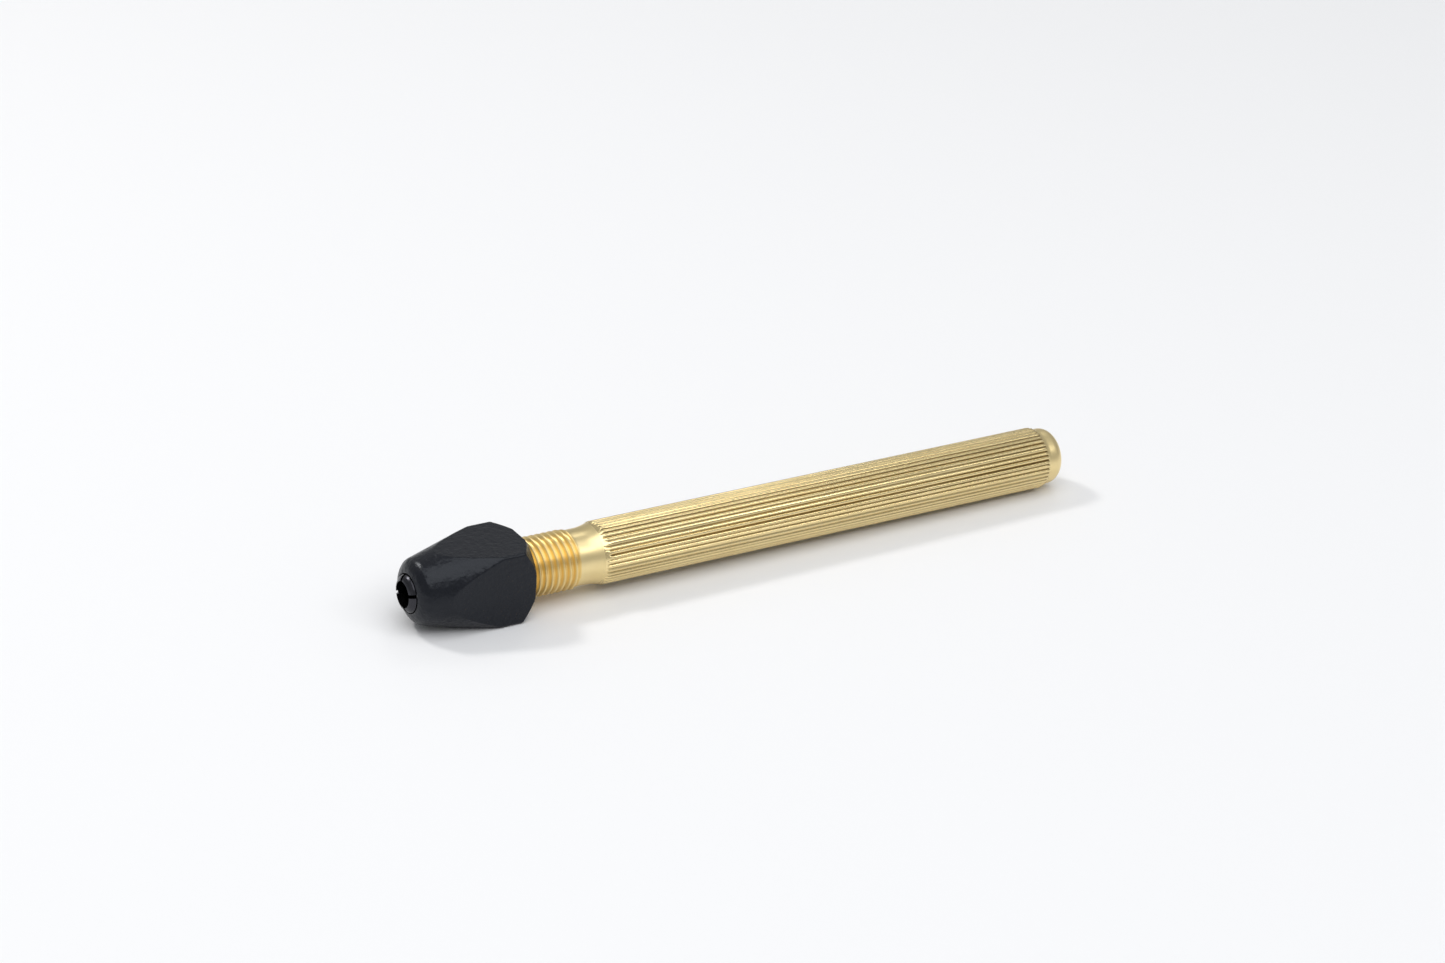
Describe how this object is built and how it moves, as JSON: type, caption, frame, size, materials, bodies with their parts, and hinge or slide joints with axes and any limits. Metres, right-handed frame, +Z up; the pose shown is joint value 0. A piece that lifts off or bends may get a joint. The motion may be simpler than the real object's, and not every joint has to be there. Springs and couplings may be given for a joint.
{
  "type": "lead holder",
  "caption": "Pin-vice lead holder: straight-knurled brass handle, threaded spigot, black tapered chuck nut with four flats, and a split collet that grips a thick lead.",
  "frame": {"origin": "centre of the collet's mouth, on the lead's axis", "axes": "+X along the lead's axis from the collet's mouth to the handle's tail, +Z up, square to the nut's top flat"},
  "size_m": [0.1189, 0.012, 0.012],
  "materials": {
    "brass": "satin turned and knurled brass",
    "black_coat": "satin black coating, finely textured",
    "black_steel": "polished blackened spring steel"
  },
  "bodies": {
    "handle": {"handle": "brass"},
    "collet": {"collet_sleeve": "black_steel"},
    "nut": {"chuck_nut": "black_coat"},
    "jaw_1": {"collet_jaw_1": "black_steel"},
    "jaw_2": {"collet_jaw_2": "black_steel"},
    "jaw_3": {"collet_jaw_3": "black_steel"},
    "jaw_4": {"collet_jaw_4": "black_steel"}
  },
  "joints": [
    {"name": "nut_spin", "type": "hinge", "parent": "collet", "child": "nut", "pos_m": [0.0196, 0, 0], "axis": [1, 0, 0], "range_deg": [0, 360]},
    {"name": "collet_slide", "type": "slide", "parent": "handle", "child": "collet", "axis": [1, 0, 0], "range_m": [0, 0.00106]},
    {"name": "jaw_1_bend", "type": "hinge", "parent": "collet", "child": "jaw_1", "pos_m": [0.022, -0.00219, -0.00121], "axis": [0, 0.4848, -0.8746], "range_deg": [0, 0.775]},
    {"name": "jaw_2_bend", "type": "hinge", "parent": "collet", "child": "jaw_2", "pos_m": [0.022, 0.00121, -0.00219], "axis": [0, 0.8746, 0.4848], "range_deg": [0, 0.775]},
    {"name": "jaw_3_bend", "type": "hinge", "parent": "collet", "child": "jaw_3", "pos_m": [0.022, 0.00219, 0.00121], "axis": [0, -0.4848, 0.8746], "range_deg": [0, 0.775]},
    {"name": "jaw_4_bend", "type": "hinge", "parent": "collet", "child": "jaw_4", "pos_m": [0.022, -0.00121, 0.00219], "axis": [0, -0.8746, -0.4848], "range_deg": [0, 0.775]}
  ],
  "couplings": [
    {"joint": "nut_spin", "follows": "collet_slide", "rad_per_m": 5937.1},
    {"joint": "jaw_1_bend", "follows": "collet_slide", "rad_per_m": 12.773},
    {"joint": "jaw_2_bend", "follows": "collet_slide", "rad_per_m": 12.773},
    {"joint": "jaw_3_bend", "follows": "collet_slide", "rad_per_m": 12.773},
    {"joint": "jaw_4_bend", "follows": "collet_slide", "rad_per_m": 12.773}
  ]
}
